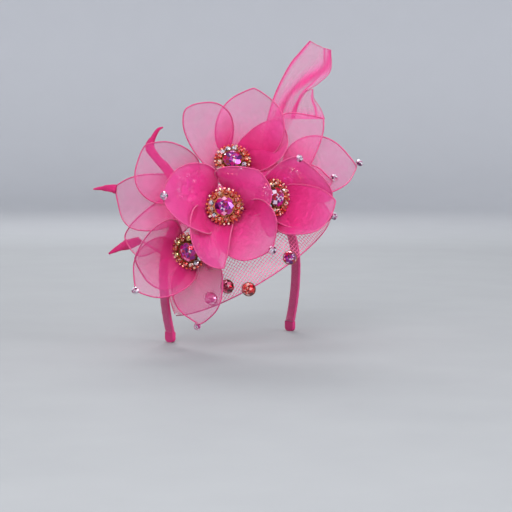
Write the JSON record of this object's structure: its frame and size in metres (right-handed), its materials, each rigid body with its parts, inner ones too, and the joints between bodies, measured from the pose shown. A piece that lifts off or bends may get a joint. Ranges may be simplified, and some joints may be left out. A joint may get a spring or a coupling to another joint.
{
  "type": "fascinator headpiece",
  "caption": "Fascinator of wired sheer blooms with jewelled centres on a shaped net base and a slim headband, with a tall sheer plume.",
  "frame": {"origin": "centre of the headband's crown arc, halfway across the band's width", "axes": "+Z to the crown of the head, the wearer faces -Y, the wearer's right hand is on -X; +Y is the way the head leaves the band"},
  "size_m": [0.2121, 0.1751, 0.261],
  "materials": {
    "satin": "satin",
    "spring_steel": "brushed",
    "tip_plastic": "gloss",
    "net": "open net",
    "bound_wire": "matt",
    "felt": "matt",
    "organza": "sheer",
    "gilt_metal": "polished",
    "violet_crystal": "faceted",
    "amber_crystal": "faceted",
    "red_crystal": "faceted",
    "clear_crystal": "faceted"
  },
  "bodies": {
    "root": {"base_net_cap": "net", "base_rim_wire": "bound_wire", "bloom_stems": "bound_wire", "brooch_setting_brow": "gilt_metal", "brooch_setting_crown": "gilt_metal", "brooch_setting_front": "gilt_metal", "brooch_setting_left": "gilt_metal", "brooch_setting_rear": "gilt_metal", "brooch_setting_temple": "gilt_metal", "centre_stone_brow": "violet_crystal", "centre_stone_crown": "violet_crystal", "centre_stone_front": "violet_crystal", "centre_stone_left": "violet_crystal", "centre_stone_rear": "violet_crystal", "centre_stone_temple": "violet_crystal", "headband_cover": "satin", "headband_end_tips": "tip_plastic", "headband_strip": "spring_steel", "net_crystal_cups": "gilt_metal", "net_crystals": "red_crystal", "petal_brow_1": "organza", "petal_brow_2": "organza", "petal_brow_3": "organza", "petal_brow_4": "organza", "petal_crown_1": "organza", "petal_crown_2": "organza", "petal_crown_3": "organza", "petal_crown_4": "organza", "petal_discs": "felt", "petal_front_1": "organza", "petal_front_2": "organza", "petal_front_3": "organza", "petal_front_4": "organza", "petal_left_1": "organza", "petal_left_2": "organza", "petal_left_3": "organza", "petal_rear_1": "organza", "petal_rear_2": "organza", "petal_rear_3": "organza", "petal_temple_1": "organza", "petal_temple_2": "organza", "petal_temple_3": "organza", "petal_temple_4": "organza", "petal_wires_brow": "bound_wire", "petal_wires_crown": "bound_wire", "petal_wires_front": "bound_wire", "petal_wires_left": "bound_wire", "petal_wires_rear": "bound_wire", "petal_wires_temple": "bound_wire", "plume_blade": "organza", "plume_flare": "organza", "plume_wire": "bound_wire", "ring_stones_brow": "amber_crystal", "ring_stones_crown": "amber_crystal", "ring_stones_front": "amber_crystal", "ring_stones_left": "amber_crystal", "ring_stones_rear": "amber_crystal", "ring_stones_temple": "amber_crystal", "rolled_points": "organza", "tip_crystals": "clear_crystal"}
  },
  "joints": []
}
